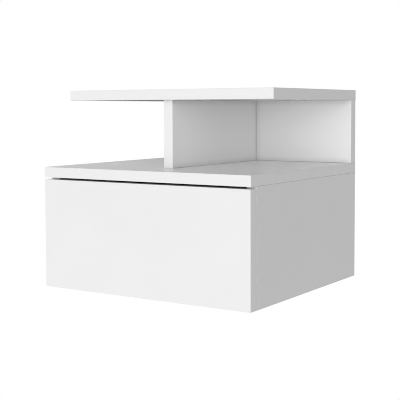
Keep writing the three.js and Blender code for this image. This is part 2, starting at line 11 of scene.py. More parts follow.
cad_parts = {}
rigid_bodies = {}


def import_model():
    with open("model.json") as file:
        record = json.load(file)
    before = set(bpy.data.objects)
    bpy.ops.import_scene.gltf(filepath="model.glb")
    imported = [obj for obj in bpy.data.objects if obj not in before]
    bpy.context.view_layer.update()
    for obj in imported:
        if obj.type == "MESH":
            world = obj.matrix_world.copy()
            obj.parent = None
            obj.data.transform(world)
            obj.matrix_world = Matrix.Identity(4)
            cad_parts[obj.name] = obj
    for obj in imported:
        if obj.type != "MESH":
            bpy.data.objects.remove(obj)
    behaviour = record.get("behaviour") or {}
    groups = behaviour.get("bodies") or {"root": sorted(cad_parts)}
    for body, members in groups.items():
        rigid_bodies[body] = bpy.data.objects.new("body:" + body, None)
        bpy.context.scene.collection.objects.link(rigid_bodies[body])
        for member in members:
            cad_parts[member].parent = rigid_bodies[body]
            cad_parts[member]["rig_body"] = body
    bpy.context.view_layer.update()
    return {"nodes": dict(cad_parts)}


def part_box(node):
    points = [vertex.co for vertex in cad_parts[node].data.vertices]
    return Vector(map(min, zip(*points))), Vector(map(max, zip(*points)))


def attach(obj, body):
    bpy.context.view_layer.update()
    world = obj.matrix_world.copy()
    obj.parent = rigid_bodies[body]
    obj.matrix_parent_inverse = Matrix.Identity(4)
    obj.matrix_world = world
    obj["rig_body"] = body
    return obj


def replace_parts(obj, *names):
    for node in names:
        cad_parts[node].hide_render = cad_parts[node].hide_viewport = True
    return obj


for leftover in list(bpy.data.objects):
    bpy.data.objects.remove(leftover)

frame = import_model()
nodes = frame["nodes"]
scene = bpy.context.scene

# Directions
X = Vector((1, 0, 0))
Y = Vector((0, 1, 0))
Z = Vector((0, 0, 1))
AXES = "xyz"
HANDS = {"left": -1, "right": 1}
ROWS = ("front", "back")

# Board edges
EDGE_ROUND = 0.0004
BUTTED_ROUND = 0.0002
SHEET_ROUND = 0.00015
SHARP = 0.6
ROUND_STEPS = 2
WELD = 1e-6
FLAT_SHARE = 0.9
PLANE_SLACK = 1e-5
PLANE_DIGITS = 5

# The edges that carry a white band; the others are raw chipboard
BANDED = {
    "cabinet_top": ("-x", "+x", "-y"),
    "upper_shelf": ("-x", "+x", "-y"),
    "side_panel_left": ("-y", "-z"),
    "side_panel_right": ("-y", "-z"),
    "cabinet_bottom": ("-y",),
    "rear_panel": ("-z",),
    "divider": ("-y",),
    "upper_back": ("+x",),
    "drawer_front": ("-x", "+x", "-z", "+z"),
    "drawer_side_left": ("+z",),
    "drawer_side_right": ("+z",),
    "drawer_back": ("+z",),
}
FACE, BAND, CORE = range(3)

# The boards round the open compartments, whose melamine faces carry painted shade in their inner corners
OPEN_BOARDS = ("cabinet_top", "upper_shelf", "divider", "upper_back")

# The board that stands against its neighbours on three sides, so its edges are sharper
BUTTED_BOARD = "upper_back"


# Materials. Patterns lie in each object's own coordinates, in metres, and a grain is in clouds per metre.

WHITE = (1, 1, 1, 1)
NOISE_LOW = 0.3
NOISE_HIGH = 0.7
NOISE_DETAIL = 2
# Rays for the painted shade in inner corners
PAINTED_SHADE_RAYS = 8


class Finish:
    """A procedural material under construction."""

    def __init__(self, name, **inputs):
        self.material = bpy.data.materials.new(name)
        self.material.use_nodes = True
        self.tree = self.material.node_tree
        self.shader = self.tree.nodes["Principled BSDF"]
        for key, value in inputs.items():
            self.shader.inputs[key.replace("_", " ")].default_value = value

    def node(self, kind, inputs, **settings):
        made = self.tree.nodes.new(kind)
        for key, value in settings.items():
            setattr(made, key, value)
        for key, value in inputs.items():
            if isinstance(value, bpy.types.NodeSocket):
                self.tree.links.new(value, made.inputs[key])
            else:
                made.inputs[key].default_value = value
        return made

    def place(self, stretch=(1, 1, 1)):
        source = self.node("ShaderNodeTexCoord", {}).outputs["Object"]
        return self.node("ShaderNodeMapping", {"Vector": source, "Scale": stretch}).outputs["Vector"]

    def noise(self, grain, detail=NOISE_DETAIL, stretch=(1, 1, 1)):
        """Soft cloudy noise, spread over 0 to 1."""
        inputs = {"Vector": self.place(stretch), "Scale": grain, "Detail": detail}
        cloud = self.node("ShaderNodeTexNoise", inputs).outputs["Fac"]
        return self.spread(cloud, 0, 1, NOISE_LOW, NOISE_HIGH)

    def cells(self, grain, stretch):
        """A random grey for each of many small cells."""
        inputs = {"Vector": self.place(stretch), "Scale": grain}
        cell = self.node("ShaderNodeTexVoronoi", inputs).outputs["Color"]
        return self.node("ShaderNodeSeparateColor", {"Color": cell}).outputs["Red"]

    def spread(self, factor, low, high, start=0, end=1):
        inputs = {"Value": factor, "From Min": start, "From Max": end, "To Min": low, "To Max": high}
        return self.node("ShaderNodeMapRange", inputs).outputs["Result"]

    def ramp(self, factor, tones):
        """Tones at even steps."""
        made = self.node("ShaderNodeValToRGB", {"Fac": factor})
        stops = made.color_ramp.elements
        while len(stops) < len(tones):
            stops.new(1)
        for i, tone in enumerate(tones):
            stops[i].position = i / (len(tones) - 1)
            stops[i].color = (*tone, 1)
        return made.outputs["Color"]

    def painted_corner_shade(self, colour, reach, share):
        """The colour with painted shade, darker where other faces stand within reach: a share of itself where
        they hide all.
        """
        inputs = {"Distance": reach}
        # Painted shade: an ambient occlusion node darkens the colour in inner corners
        corner_occlusion = self.node("ShaderNodeAmbientOcclusion", inputs, samples=PAINTED_SHADE_RAYS).outputs["AO"]
        inputs = {0: colour, "Scale": self.spread(corner_occlusion, share, 1)}
        return self.node("ShaderNodeVectorMath", inputs, operation="SCALE").outputs["Vector"]

    def join(self, key, socket):
        self.tree.links.new(socket, self.shader.inputs[key])

    def relief(self, *layers):
        """Bumps stacked on each other, each a height socket and a depth in metres."""
        inputs = {}
        for height, depth in layers:
            inputs = {**inputs, "Height": height, "Distance": depth}
            inputs["Normal"] = self.node("ShaderNodeBump", inputs).outputs["Normal"]
        self.join("Normal", inputs["Normal"])


def stretched(axis, times):
    """The scales of a pattern that is squeezed along one axis."""
    stretch = [1, 1, 1]
    stretch[axis] = times
    return stretch


FACE_TONES = ((0.85, 0.85, 0.849), (0.865, 0.865, 0.864))
FACE_ROUGHNESS = (0.2, 0.27)
TONE_GRAIN = 9
PEARL_GRAIN = 1500
PEARL_DEPTH = 0.000005
WAVE_GRAIN = 30
WAVE_DEPTH = 0.000006
# Painted shade in inner corners: its reach in metres, and the share of the colour left where all is hidden
PAINTED_SHADE_REACH = 0.009
PAINTED_SHADE_SHARE = 0.7


def melamine(name, with_painted_shade):
    """White melamine face with the fine pearl grain of a press plate; with_painted_shade adds painted shade
    in its inner corners.
    """
    finish = Finish(name)
    pearl = finish.noise(PEARL_GRAIN)
    colour = finish.ramp(finish.noise(TONE_GRAIN), FACE_TONES)
    if with_painted_shade:
        # Painted shade in the inner corners
        colour = finish.painted_corner_shade(colour, PAINTED_SHADE_REACH, PAINTED_SHADE_SHARE)
    finish.join("Base Color", colour)
    finish.join("Roughness", finish.spread(pearl, *FACE_ROUGHNESS))
    finish.relief((pearl, PEARL_DEPTH), (finish.noise(WAVE_GRAIN), WAVE_DEPTH))
    return finish.material


BAND_TONES = ((0.86, 0.86, 0.858), (0.875, 0.875, 0.873))
LINE_GRAIN = 60
LINE_SQUEEZE = 30
LINE_DEPTH = 0.000004


def edge_band(thin):
    """White edge band with the faint lines of the scraper along it; thin is the axis across the board."""
    finish = Finish("edge_band_" + AXES[thin])
    lines = finish.noise(LINE_GRAIN, stretch=stretched(thin, LINE_SQUEEZE))
    finish.join("Base Color", finish.ramp(lines, BAND_TONES))
    finish.join("Roughness", finish.spread(lines, *FACE_ROUGHNESS))
    finish.relief((lines, LINE_DEPTH))
    return finish.material


CHIP_TONES = (
    (0.42, 0.29, 0.17),
    (0.58, 0.43, 0.27),
    (0.66, 0.50, 0.32),
    (0.74, 0.59, 0.41),
    (0.53, 0.38, 0.23),
)
CHIP_ROUGHNESS = (0.75, 0.95)
CHIP_SQUEEZE = 2.6
CHIP_GRAIN = 520
CHIP_DEPTH = 0.00015
DUST_GRAIN = 1700
DUST_DEPTH = 0.00006


def chipboard(thin):
    """Raw chipboard, its chips lying flat in the board; thin is the axis across the board."""
    finish = Finish("chipboard_" + AXES[thin])
    chips, dust = (finish.cells(grain, stretched(thin, CHIP_SQUEEZE)) for grain in (CHIP_GRAIN, DUST_GRAIN))
    mixed = finish.node("ShaderNodeMath", {0: chips, 1: dust}, operation="ADD").outputs["Value"]
    finish.join("Base Color", finish.ramp(finish.spread(mixed, 0, 1, end=2), CHIP_TONES))
    finish.join("Roughness", finish.spread(dust, *CHIP_ROUGHNESS))
    finish.relief((chips, CHIP_DEPTH), (dust, DUST_DEPTH))
    return finish.material


FIBRE_TONES = ((0.17, 0.10, 0.05), (0.27, 0.165, 0.09), (0.22, 0.13, 0.07))
FIBRE_ROUGHNESS = (0.7, 0.9)
FIBRE_GRAIN = 900
FIBRE_DETAIL = 4
FIBRE_DEPTH = 0.00004
SCREEN_GRAIN = 160
SCREEN_DEPTH = 0.00008


def brown_hardboard():
    """Bare side of hardboard, with the print of the wire screen."""
    finish = Finish("bare_hardboard")
    fibre = finish.noise(FIBRE_GRAIN, FIBRE_DETAIL)
    finish.join("Base Color", finish.ramp(fibre, FIBRE_TONES))
    finish.join("Roughness", finish.spread(fibre, *FIBRE_ROUGHNESS))
    wires = []
    for direction in ("X", "Y"):
        inputs = {"Vector": finish.place(), "Scale": SCREEN_GRAIN}
        wave = finish.node("ShaderNodeTexWave", inputs, bands_direction=direction)
        wires.append((wave.outputs["Fac"], SCREEN_DEPTH))
    finish.relief(*wires, (fibre, FIBRE_DEPTH))
    return finish.material


def clouded(name, tones, tone_noise, roughness, roughness_noise, relief_noise, depth, **shader):
    """A material whose tone, roughness and relief each follow a noise, given as its grain and its detail.

    roughness is a range, and depth is the relief's, in metres.
    """
    finish = Finish(name, **shader)
    noises = dict.fromkeys((tone_noise, roughness_noise, relief_noise))
    clouds = {noise: finish.noise(*noise) for noise in noises}
    finish.join("Base Color", finish.ramp(clouds[tone_noise], tones))
    finish.join("Roughness", finish.spread(clouds[roughness_noise], *roughness))
    finish.relief((clouds[relief_noise], depth))
    return finish.material


MELAMINE = melamine("melamine_face", with_painted_shade=False)
# Melamine with painted shade in its inner corners
SHADE_PAINTED_MELAMINE = melamine("melamine_face_open", with_painted_shade=True)
EDGE_BAND = [edge_band(axis) for axis in range(len(AXES))]
CHIPBOARD = [chipboard(axis) for axis in range(len(AXES))]
BROWN_HARDBOARD = brown_hardboard()

# Lacquered face of the drawer's bottom
WHITE_HARDBOARD = clouded(
    "white_hardboard_face",
    tones=((0.79, 0.79, 0.78), (0.82, 0.82, 0.81)),
    tone_noise=(14, 2),
    roughness=(0.38, 0.52),
    roughness_noise=(700, 2),
    relief_noise=(700, 2),
    depth=0.00002,
)

# Zinc-plated steel, bright with soft cloudy streaks
PLATED_ZINC = clouded(
    "zinc_plate",
    tones=((0.52, 0.53, 0.55), (0.66, 0.67, 0.68), (0.60, 0.60, 0.59)),
    tone_noise=(220, 3),
    roughness=(0.24, 0.38),
    roughness_noise=(220, 3),
    relief_noise=(1800, 2),
    depth=0.00001,
    Metallic=1,
)

# Die-cast zinc, dull and finely pitted
CAST_ZINC = clouded(
    "cast_zinc",
    tones=((0.50, 0.50, 0.50), (0.60, 0.60, 0.595)),
    tone_noise=(900, 3),
    roughness=(0.38, 0.55),
    roughness_noise=(900, 3),
    relief_noise=(900, 3),
    depth=0.00003,
    Metallic=1,
)

# White powder coat with a light orange peel
COATED_STEEL = clouded(
    "white_powder_coat",
    tones=((0.80, 0.80, 0.79), (0.83, 0.83, 0.82)),
    tone_noise=(25, 2),
    roughness=(0.32, 0.42),
    roughness_noise=(420, 2),
    relief_noise=(420, 2),
    depth=0.00003,
    Coat_Weight=0.3,
    Coat_Roughness=0.2,
)

# Milky moulded nylon
NYLON = clouded(
    "milky_nylon",
    tones=((0.78, 0.77, 0.72), (0.83, 0.82, 0.78)),
    tone_noise=(150, 2),
    roughness=(0.34, 0.46),
    roughness_noise=(150, 2),
    relief_noise=(1200, 2),
    depth=0.00001,
    Subsurface_Weight=0.25,
    Subsurface_Scale=0.002,
)

# White moulded plastic with a fine spark texture
CAP_PLASTIC = clouded(
    "cap_plastic",
    tones=((0.82, 0.82, 0.81), (0.85, 0.85, 0.84)),
    tone_noise=(120, 2),
    roughness=(0.4, 0.52),
    roughness_noise=(1700, 2),
    relief_noise=(1700, 2),
    depth=0.00001,
)

# Milky soft polyurethane
SOFT_RUBBER = clouded(
    "milky_rubber",
    tones=((0.84, 0.84, 0.82), (0.9, 0.9, 0.88)),
    tone_noise=(500, 2),
    roughness=(0.2, 0.32),
    roughness_noise=(500, 2),
    relief_noise=(500, 2),
    depth=0.00001,
    Transmission_Weight=0.3,
    IOR=1.45,
)


# Boards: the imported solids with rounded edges, and a material for each kind of face

def round_edges(node, radius):
    """Closes the mesh and rounds its sharp edges, by less where bores leave the bevel less room."""
    node.data.shade_flat()
    weld = node.modifiers.new("weld", "WELD")
    weld.merge_threshold = WELD
    bevel = node.modifiers.new("rounds", "BEVEL")
    bevel.width = radius
    bevel.segments = ROUND_STEPS
    bevel.limit_method = "ANGLE"
    bevel.angle_limit = SHARP
    bevel.material = FACE


def outer_planes(mesh):
    """Where each flat side of a board lies: for each axis and sense, the plane with the most area."""
    areas = {}
    for polygon in mesh.polygons:
        for axis in range(len(AXES)):
            facing = polygon.normal[axis]
            if abs(facing) > FLAT_SHARE:
                places = areas.setdefault((axis, facing > 0), {})
                place = round(polygon.center[axis], PLANE_DIGITS)
                places[place] = places.get(place, 0) + polygon.area
    return {side: max(places, key=places.get) for side, places in areas.items()}


def side_of(polygon, planes):
    """The axis and sense of the board's flat side that a polygon lies in, or None in a bore or groove."""
    for (axis, positive), place in planes.items():
        facing = polygon.normal[axis] if positive else -polygon.normal[axis]
        if facing > FLAT_SHARE and abs(polygon.center[axis] - place) < PLANE_SLACK:
            return axis, positive
    return None


def thin_axis(planes):
    return min(range(len(AXES)), key=lambda axis: planes[axis, True] - planes[axis, False])


def dress_board(name, banded):
    node = nodes[name]
    planes = outer_planes(node.data)
    thin = thin_axis(planes)
    node.data.materials.clear()
    # The boards round the open compartments get the melamine with painted corner shade
    face = SHADE_PAINTED_MELAMINE if name in OPEN_BOARDS else MELAMINE
    for material in (face, EDGE_BAND[thin], CHIPBOARD[thin]):
        node.data.materials.append(material)
    for polygon in node.data.polygons:
        side = side_of(polygon, planes)
        if side is None:
            polygon.material_index = CORE
        elif side[0] == thin:
            polygon.material_index = FACE
        else:
            label = "-+"[side[1]] + AXES[side[0]]
            polygon.material_index = BAND if label in banded else CORE
    round_edges(node, BUTTED_ROUND if name == BUTTED_BOARD else EDGE_ROUND)


def dress_sheet(name):
    """The drawer's bottom: lacquered above, bare below and at its edges."""
    node = nodes[name]
    node.data.materials.clear()
    for material in (WHITE_HARDBOARD, BROWN_HARDBOARD):
        node.data.materials.append(material)
    for polygon in node.data.polygons:
        polygon.material_index = 0 if polygon.normal.z > FLAT_SHARE else 1
    round_edges(node, SHEET_ROUND)


def dress_metal(name, material, radius):
    node = nodes[name]
    node.data.materials.clear()
    node.data.materials.append(material)
    round_edges(node, radius)


# Meshes

SIDES = 48
SMALL_SIDES = 32
DOME_STEPS = 6
OVERRUN = 0.001


def finish_mesh(work, name, material=None):
    """A bmesh as a mesh whose faces look outward, with its sharp edges marked."""
    bmesh.ops.remove_doubles(work, verts=work.verts, dist=WELD)
    bmesh.ops.recalc_face_normals(work, faces=work.faces)
    mesh = bpy.data.meshes.new(name)
    work.to_mesh(mesh)
    work.free()
    mesh.shade_smooth()
    mesh.set_sharp_from_angle(angle=SHARP)
    if material:
        mesh.materials.append(material)
    return mesh


def lathe(name, profile, sides=SIDES, material=None):
    """A body turned about Z.

    profile lists its (radius, z) points, from and to the axis or as a closed ring, or is a function that
    gives them for each step of the turn.
    """
    work = bmesh.new()
    rings = []
    for step in range(sides):
        angle = 2 * math.pi * step / sides
        across, along = math.cos(angle), math.sin(angle)
        points = profile(step) if callable(profile) else profile
        rings.append([work.verts.new((r * across, r * along, z)) for r, z in points])
    count = len(rings[0])
    spans = count if points[0][0] > 0 else count - 1
    for step in range(sides):
        here, there = rings[step], rings[(step + 1) % sides]
        for i in range(spans):
            j = (i + 1) % count
            work.faces.new((here[i], there[i], there[j], here[j]))
    return finish_mesh(work, name, material)


def prism(name, outline, low, high, material=None):
    """A flat outline in X and Y, from z = low to z = high."""
    work = bmesh.new()
    rings = [[work.verts.new((x, y, z)) for x, y in outline] for z in (low, high)]
    work.faces.new(list(reversed(rings[0])))
    work.faces.new(rings[1])
    count = len(outline)
    for i in range(count):
        j = (i + 1) % count
        work.faces.new((rings[0][i], rings[0][j], rings[1][j], rings[1][i]))
    return finish_mesh(work, name, material)


def carve(mesh, cutters):
    """The mesh less each cutter, as a new mesh."""
    body = bpy.data.objects.new(mesh.name, mesh)
    made = [body]
    for cutter in cutters:
        tool = bpy.data.objects.new("cutter", cutter)
        made.append(tool)
        cut = body.modifiers.new("cut", "BOOLEAN")
        cut.object = tool
        cut.solver = "EXACT"
    for each in made:
        scene.collection.objects.link(each)
    bpy.context.view_layer.update()
    evaluated = body.evaluated_get(bpy.context.evaluated_depsgraph_get())
    carved = bpy.data.meshes.new_from_object(evaluated)
    for each in made:
        bpy.data.objects.remove(each)
    carved.shade_smooth()
    carved.set_sharp_from_angle(angle=SHARP)
    return carved


def rectangle(half_x, half_y):
    return [(-half_x, -half_y), (half_x, -half_y), (half_x, half_y), (-half_x, half_y)]


def arc(middle, radius, start, end, steps):
    """Points of an arc, its ends included. Angles are in degrees."""
    points = []
    for step in range(steps + 1):
        angle = math.radians(start + (end - start) * step / steps)
        points.append((middle[0] + radius * math.cos(angle), middle[1] + radius * math.sin(angle)))
    return points


def dome(radius, edge, crown):
    """Half the section of a low dome with a rounded shoulder, from the axis at its foot to its crown."""
    points = [(0, 0), (radius, 0), (radius, edge)]
    for step in range(1, DOME_STEPS):
        angle = math.pi / 2 * step / DOME_STEPS
        points.append((radius * math.cos(angle), edge + (crown - edge) * math.sin(angle)))
    return [*points, (0, crown)]


def cross_cutters(arm, half, depth):
    """Two crossed slots that open at z = 0."""
    return [
        prism("slot", rectangle(arm, half), -OVERRUN, depth),
        prism("slot", rectangle(half, arm), -OVERRUN, depth),
    ]


def frame_of(at, inward, towards):
    """The place of a fitting: its +Z runs inward and its +X points towards its partner."""
    turn = Matrix((towards, inward.cross(towards), inward)).transposed()
    return Matrix.Translation(at) @ turn.to_4x4()


def fit(name, mesh, place, body):
    piece = bpy.data.objects.new(name, mesh)
    scene.collection.objects.link(piece)
    piece.matrix_world = place
    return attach(piece, body)


def stand_for(node, mesh, place):
    """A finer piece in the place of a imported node."""
    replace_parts(fit(f"fine_{node}", mesh, place, nodes[node]["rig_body"]), node)


def middle_of(node):
    low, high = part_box(node)
    return (low + high) / 2


def mouth_of(node, outward):
    """The middle of the face of a node's box that looks outward."""
    low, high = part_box(node)
    return middle_of(node) + Vector(o * (h - l) / 2 for o, l, h in zip(outward, low, high))


# Cam fittings

BOARD = 0.015
DRAWER_BOARD = 0.012
CAM_RADIUS = 0.0074
DRAWER_CAM_RADIUS = 0.0059
CAM_ROUND = 0.0004
CAM_BLIND = 0.00315
CROSS_ARM_SHARE = 0.55
CROSS_HALF_SHARE = 0.14
CROSS_DEPTH = 0.002
HOLLOW_SHARE = 0.5
HOLLOW_START_SHARE = 0.33
ARROW_SHARES = (0.88, 0.66, 0.14)
ARROW_DEPTH = 0.0003


def cam_mesh(radius, board):
    """A cam with a rounded rim, a cross slot, the hollow for the bolt and a small arrow that points at it."""
    length = board - CAM_BLIND
    inner = radius - CAM_ROUND
    hole = radius * HOLLOW_SHARE
    profile = [
        (0, 0),
        (inner, 0),
        (radius, CAM_ROUND),
        (radius, length - CAM_ROUND),
        (inner, length),
        (0, length),
    ]
    hollow = lathe("hollow", [(0, 0), (hole, 0), (hole, 2 * radius), (0, 2 * radius)])
    start = Matrix.Translation((-radius * HOLLOW_START_SHARE, 0, board / 2))
    hollow.transform(start @ Matrix.Rotation(math.pi / 2, 4, "Y"))
    tip, base, half = (radius * share for share in ARROW_SHARES)
    arrow = prism("arrow", [(tip, 0), (base, half), (base, -half)], -OVERRUN, ARROW_DEPTH)
    slots = cross_cutters(radius * CROSS_ARM_SHARE, radius * CROSS_HALF_SHARE, CROSS_DEPTH)
    return carve(lathe("cam", profile, material=CAST_ZINC), [*slots, arrow, hollow])


def cam_places():
    """Each cam's label, the way its open face looks and the way it points."""
    for hand, side in HANDS.items():
        for row in ROWS:
            yield f"top_{hand}_{row}", -side * X, Z
            yield f"bottom_{hand}_{row}", -Z, side * X
        yield f"rear_{hand}", Y, side * X
        yield f"drawer_{hand}", side * X, -Y
    yield "shelf_divider", -X, Z
    yield "shelf_back", Y, Z


def place_cams():
    large = cam_mesh(CAM_RADIUS, BOARD)
    small = cam_mesh(DRAWER_CAM_RADIUS, DRAWER_BOARD)
    for label, outward, towards in cam_places():
        node = f"cam_{label}"
        mesh = small if "drawer" in label else large
        stand_for(node, mesh, frame_of(mouth_of(node, outward), -outward, towards))


CAP_RADIUS = 0.0086
CAP_EDGE = 0.0005
CAP_CROWN = 0.0011


def place_cap():
    """A push-in cap over the one cam that would show in the open compartment."""
    mesh = lathe("cap", dome(CAP_RADIUS, CAP_EDGE, CAP_CROWN), material=CAP_PLASTIC)
    at = mouth_of("cam_shelf_divider", -X)
    fit("cam_cap", mesh, frame_of(at, -X, Z), "cabinet")


# Screws

THREAD_ROOT_SHARE = 0.78
THREAD_START_SHARE = 0.25
TIP_SHARE = 1 / 3
POINT_PITCHES = 3
SOCKET_CORNERS = 6
RIM_SHARE = 0.25
SUNK_RIM_SHARE = 0.125
PAN_SHARES = ((0.7, 0), (0.92, 0.15), (1, 0.5), (1, 1))


def screw_mesh(head, shank, length, pitch, socket):
    """A screw with a threaded shank and a pointed tip.

    head lists the (radius, z) points of the head, from its rim, and the head's face is z = 0.
    """
    root = shank * THREAD_ROOT_SHARE
    z = head[-1][1] + pitch
    profile = [(0, 0), *head, (root, head[-1][1] + pitch * THREAD_START_SHARE)]
    while z < length - POINT_PITCHES * pitch:
        profile += [(root, z), (shank, z + pitch / 2)]
        z += pitch
    profile += [(root, z), (root * TIP_SHARE, length - pitch / 2), (0, length)]
    return carve(lathe("screw", profile, SMALL_SIDES, PLATED_ZINC), socket)


def flat_head(radius, height):
    """A cylindrical head with a rounded rim, coned below."""
    rim = height * RIM_SHARE
    return [(radius - rim, 0), (radius, rim), (radius, height / 2), (radius / 2, height)]


def sunk_head(radius, height):
    """A countersunk head."""
    return [(radius, 0), (radius, height * SUNK_RIM_SHARE), (radius / 2, height)]


def pan_head(radius, height):
    """A pan head with a rounded shoulder."""
    return [(radius * across, height * along) for across, along in PAN_SHARES]


def hexagon(radius, depth):
    corners = arc((0, 0), radius, 0, 360, SOCKET_CORNERS)[:-1]
    return [prism("socket", corners, -OVERRUN, depth)]


JOINER_HEAD = (0.0048, 0.004)
JOINER_SHANK = 0.0032
JOINER_LENGTH = 0.048
JOINER_PITCH = 0.0022
BOX_HEAD = (0.0038, 0.003)
BOX_SHANK = 0.0022
BOX_LENGTH = 0.038
BOX_PITCH = 0.0018
SOCKET_DEPTH = 0.0024
SOCKET_SHARE = 0.5


def board_screw_places():
    """The screws that join boards, and the way each runs."""
    for row in ROWS:
        yield f"joiner_screw_divider_{row}", Z
    for hand, side in HANDS.items():
        yield f"joiner_screw_back_{hand}", Z
        for row in ("low", "high"):
            yield f"box_screw_{hand}_{row}", -side * X


def place_board_screws():
    joiner_socket = hexagon(JOINER_HEAD[0] * SOCKET_SHARE, SOCKET_DEPTH)
    box_socket = hexagon(BOX_HEAD[0] * SOCKET_SHARE, SOCKET_DEPTH)
    joiner = screw_mesh(flat_head(*JOINER_HEAD), JOINER_SHANK, JOINER_LENGTH, JOINER_PITCH, joiner_socket)
    box = screw_mesh(flat_head(*BOX_HEAD), BOX_SHANK, BOX_LENGTH, BOX_PITCH, box_socket)
    for node, inward in board_screw_places():
        mesh = box if "box" in node else joiner
        towards = Y if inward == Z else Z
        stand_for(node, mesh, frame_of(mouth_of(node, -inward), inward, towards))


# Hangers. Each is drawn from its bearing point: first coordinate up, second across, and Z into the panel.

HANGER_HALF = 0.022
HANGER_ABOVE = 0.013
HANGER_BELOW = 0.029
HANGER_CORNER = 0.004
CORNER_STEPS = 8
HANGER_STEEL = 0.002
HANGER_ROUND = 0.0003
SLOT_RADIUS = 0.0026
SLOT_STEPS = 24
ENTRY_RADIUS = 0.0055
ENTRY_STEPS = 40
ENTRY_DROP = 0.015
HANGER_SCREW_DROP = 0.0075
HANGER_SCREW_OUT = 0.015
SINK_RADIUS = 0.0041
SINK_HOLE = 0.0022
SINK_DEPTH = 0.0015
HANGER_SCREW_BELOW = 0.0001
HANGER_SCREW_HEAD = (0.0038, 0.0018)
HANGER_SCREW_SHANK = 0.0017
HANGER_SCREW_LENGTH = 0.0118
HANGER_SCREW_PITCH = 0.0013
PHILLIPS = (0.0022, 0.00045, 0.001)


def plate_outline(grow):
    """Rounded rectangle of the hanger, grown on all sides."""
    corner = HANGER_CORNER
    half = HANGER_HALF - corner
    top, bottom = HANGER_ABOVE - corner, -HANGER_BELOW + corner
    points = []
    for turn, middle in enumerate(((top, half), (bottom, half), (bottom, -half), (top, -half))):
        points += arc(middle, corner + grow, 90 * turn, 90 * turn + 90, CORNER_STEPS)
    return points


def keyhole_outline():
    """The slot's round top is at the bearing point, and the entry hole hangs below it."""
    shoulder = math.degrees(math.asin(SLOT_RADIUS / ENTRY_RADIUS))
    top = arc((0, 0), SLOT_RADIUS, -90, 90, SLOT_STEPS)
    return top + arc((-ENTRY_DROP, 0), ENTRY_RADIUS, shoulder, 360 - shoulder, ENTRY_STEPS)


def plate_mesh():
    """The hanger's plate with its edges rounded, before its holes are cut."""
    work = bmesh.new()
    rings = []
    for z, grow in (
        (0, -HANGER_ROUND),
        (HANGER_ROUND, 0),
        (HANGER_STEEL - HANGER_ROUND, 0),
        (HANGER_STEEL, -HANGER_ROUND),
    ):
        rings.append([work.verts.new((u, v, z)) for u, v in plate_outline(grow)])
    count = len(rings[0])
    for low, high in zip(rings, rings[1:]):
        for i in range(count):
            j = (i + 1) % count
            work.faces.new((low[i], low[j], high[j], high[i]))
    work.faces.new(rings[0])
    work.faces.new(rings[-1])
    return finish_mesh(work, "hanger", PLATED_ZINC)


def hanger_mesh():
    """A steel plate with a keyhole and two countersunk holes."""
    through = HANGER_STEEL + OVERRUN
    cutters = [prism("keyhole", keyhole_outline(), -OVERRUN, through)]
    sink = [
        (0, -OVERRUN),
        (SINK_RADIUS, -OVERRUN),
        (SINK_RADIUS, 0),
        (SINK_HOLE, SINK_DEPTH),
        (SINK_HOLE, through),
        (0, through),
    ]
    for side in HANDS.values():
        hole = lathe("sink", sink)
        hole.transform(Matrix.Translation((-HANGER_SCREW_DROP, side * HANGER_SCREW_OUT, 0)))
        cutters.append(hole)
    return carve(plate_mesh(), cutters)


def place_hangers():
    plate = hanger_mesh()
    screw = screw_mesh(
        sunk_head(*HANGER_SCREW_HEAD),
        HANGER_SCREW_SHANK,
        HANGER_SCREW_LENGTH,
        HANGER_SCREW_PITCH,
        cross_cutters(*PHILLIPS),
    )
    for hand in HANDS:
        node = f"hanger_{hand}"
        low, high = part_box(node)
        at = Vector(((low.x + high.x) / 2, high.y, high.z - HANGER_ABOVE))
        stand_for(node, plate, frame_of(at, -Y, Z))
        for end, side in HANDS.items():
            beside = side * HANGER_SCREW_OUT * X - HANGER_SCREW_DROP * Z - HANGER_SCREW_BELOW * Y
            fit(f"screw_hanger_{hand}_{end}", screw, frame_of(at + beside, -Y, Z), "cabinet")


# Runners: wheels, rivets and screws. Both members of a side carry a wheel and a row of holes.

WHEEL_RADIUS = 0.0085
WHEEL_HALF = 0.00275
WHEEL_BORE = 0.00255
WHEEL_HUB = 0.0044
WHEEL_RIM = 0.0069
WHEEL_DISH = 0.0008
WHEEL_SHOULDER = 0.0006
WHEEL_DRAFT = 0.0002
WHEEL_RIBS = 6
WHEEL_SIDES = 72
RIB_STEPS = 2
RIB_SHARE = 0.3
RIVET_RADIUS = 0.0039
RIVET_EDGE = 0.00083
RIVET_CROWN = 0.00103
AXLE_PLAY = 0.0002
HOLE_FIRST = 0.035
HOLE_PITCH = 0.064
HOLES_USED = (0, 1, 3)
WEB_FACE = 0.0014
WEB_SCREW_PROUD = 0.00035
WEB_SCREW_HEAD = (0.0034, 0.0016)
FLANGE_SCREW_HEAD = (0.0032, 0.0015)
FLANGE_MIDDLE = 0.0055
RUNNER_SCREW_SHANK = 0.0019
RUNNER_SCREW_LENGTH = 0.0125
RUNNER_SCREW_PITCH = 0.0014


def wheel_profile(step):
    """A moulded wheel's section: dished on both faces, but for ribs between the hub and the rim."""
    ribbed = step % (WHEEL_SIDES // WHEEL_RIBS) < RIB_STEPS
    floor = WHEEL_HALF - WHEEL_DISH * (RIB_SHARE if ribbed else 1)
    crown = WHEEL_RADIUS - WHEEL_DRAFT
    face = [
        (WHEEL_BORE, WHEEL_HALF),
        (WHEEL_HUB, WHEEL_HALF),
        (WHEEL_HUB + WHEEL_DRAFT, floor),
        (WHEEL_RIM - WHEEL_DRAFT, floor),
        (WHEEL_RIM, WHEEL_HALF),
        (WHEEL_RADIUS - WHEEL_SHOULDER, WHEEL_HALF),
        (crown, WHEEL_HALF - WHEEL_SHOULDER),
        (WHEEL_RADIUS, WHEEL_SHOULDER),
    ]
    return [(r, -z) for r, z in face] + [(r, z) for r, z in reversed(face)]


